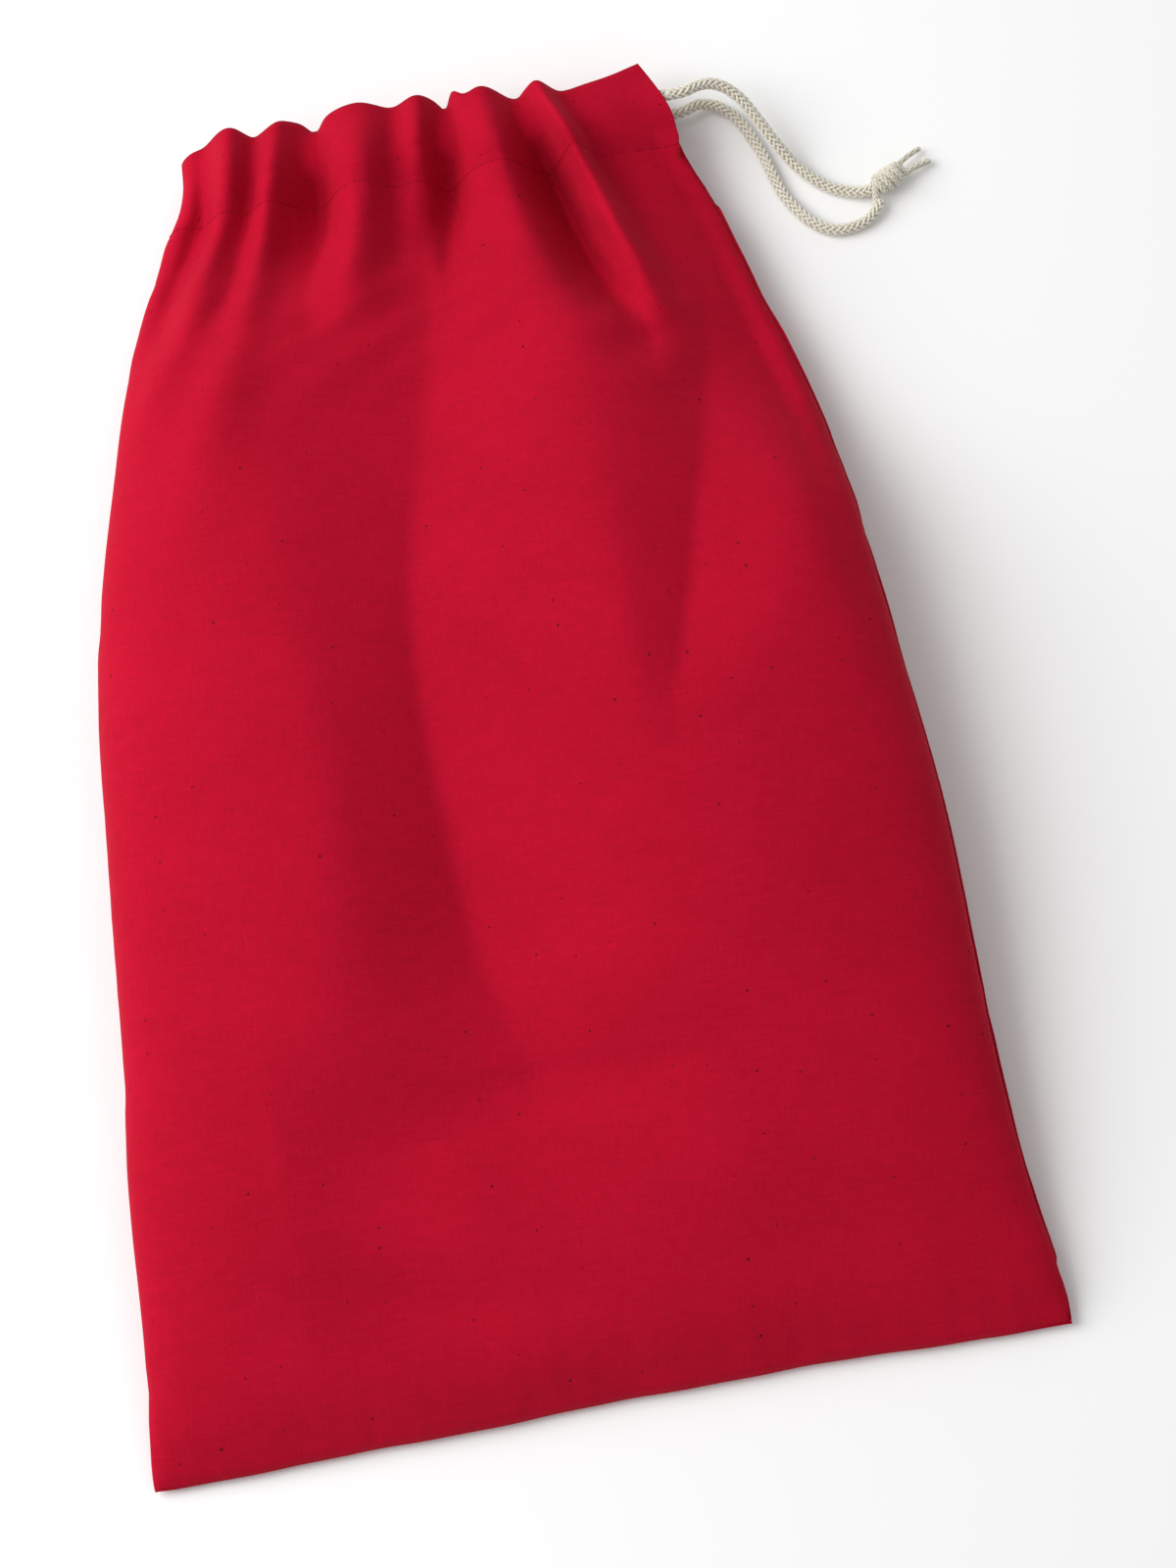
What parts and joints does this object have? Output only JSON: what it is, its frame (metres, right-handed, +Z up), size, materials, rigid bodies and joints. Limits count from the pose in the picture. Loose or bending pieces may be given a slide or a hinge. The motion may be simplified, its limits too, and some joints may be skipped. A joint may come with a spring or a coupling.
{
  "type": "drawstring gift sack",
  "caption": "Cotton drawstring gift sack, full and lying on its back, with its mouth half gathered on a knotted cord.",
  "frame": {"origin": "middle of the sack's footprint, at the height of the table it lies on", "axes": "+X across the sack towards the cord's way out, +Y from the bottom seam to the mouth, +Z up through the sack's thickness"},
  "size_m": [0.3319, 0.4404, 0.0641],
  "materials": {
    "red_cotton": "matt plain weave",
    "red_thread": "sewing thread",
    "natural_cord": "braided cotton"
  },
  "bodies": {
    "sack": {"front_panel": "red_cotton", "back_panel": "red_cotton", "left_seam_allowance": "red_cotton", "right_seam_allowance": "red_cotton", "bottom_seam_allowance": "red_cotton", "left_seam_thread": "red_thread", "right_seam_thread": "red_thread", "bottom_seam_thread": "red_thread", "front_casing": "red_cotton", "back_casing": "red_cotton", "front_casing_stitching": "red_thread", "back_casing_stitching": "red_thread", "exit_bartack": "red_thread"},
    "gathered_mouth": {"casing_far_end": "red_cotton"},
    "drawcord": {"cord_in_casing": "natural_cord"},
    "cord_ends": {"front_cord_end": "natural_cord", "back_cord_end": "natural_cord", "cord_knot": "natural_cord", "front_cord_tail": "natural_cord", "back_cord_tail": "natural_cord"}
  },
  "joints": [
    {"name": "cord_draw", "type": "slide", "parent": "sack", "child": "drawcord", "axis": [1, 0, 0], "range_m": [0, 0.05]},
    {"name": "mouth_gather", "type": "slide", "parent": "sack", "child": "gathered_mouth", "axis": [1, 0, 0], "range_m": [0, 0.05]},
    {"name": "cord_swing", "type": "hinge", "parent": "drawcord", "child": "cord_ends", "pos_m": [0.098, 0.21, 0.0135], "axis": [0, 0, 1], "range_deg": [-15, 55]}
  ],
  "couplings": [
    {"joint": "mouth_gather", "follows": "cord_draw", "ratio": 1}
  ]
}
